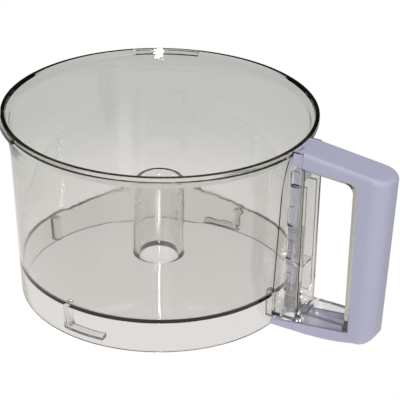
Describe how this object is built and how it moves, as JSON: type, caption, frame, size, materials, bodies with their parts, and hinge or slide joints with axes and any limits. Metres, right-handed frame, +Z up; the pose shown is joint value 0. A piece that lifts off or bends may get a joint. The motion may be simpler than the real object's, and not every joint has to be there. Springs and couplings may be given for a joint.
{
  "type": "food processor work bowl",
  "caption": "Clear flared work bowl with a centre drive tube, locking hooks in the skirt, a side handle and a sprung safety push rod in a channel beside it.",
  "frame": {"origin": "centre of the foot ring on the surface that the bowl stands on, on the bowl's axis", "axes": "+Z up along the bowl's and the drive tube's axis, +X from the axis through the middle of the handle"},
  "size_m": [0.2668, 0.204, 0.1266],
  "materials": {
    "clear_polycarbonate": "moulded clear, polished, very slightly smoky",
    "lilac_abs": "satin moulded",
    "lilac_acetal": "matt moulded",
    "grey_acetal": "matt moulded",
    "spring_steel": "drawn wire"
  },
  "bodies": {
    "bowl": {"bowl_wall": "clear_polycarbonate", "base_skirt": "clear_polycarbonate", "bowl_floor": "clear_polycarbonate", "drive_tube": "clear_polycarbonate", "rod_channel": "clear_polycarbonate", "rod_guide": "clear_polycarbonate", "handle_frame": "clear_polycarbonate", "bayonet_hook_front": "clear_polycarbonate", "bayonet_hook_back": "clear_polycarbonate", "turn_stop_right": "clear_polycarbonate", "turn_stop_left": "clear_polycarbonate", "lid_lug_back": "clear_polycarbonate", "lid_lug_left": "clear_polycarbonate", "handle_cover": "lilac_abs", "return_spring": "spring_steel"},
    "rod": {"push_rod": "lilac_acetal", "rod_tip": "grey_acetal", "spring_washer": "grey_acetal"}
  },
  "joints": [
    {"name": "rod_press", "type": "slide", "parent": "bowl", "child": "rod", "axis": [0, 0, -1], "range_m": [0, 0.006], "stiffness_N_per_m": 300, "springref_m": -0.01, "deforming": ["return_spring"]}
  ]
}
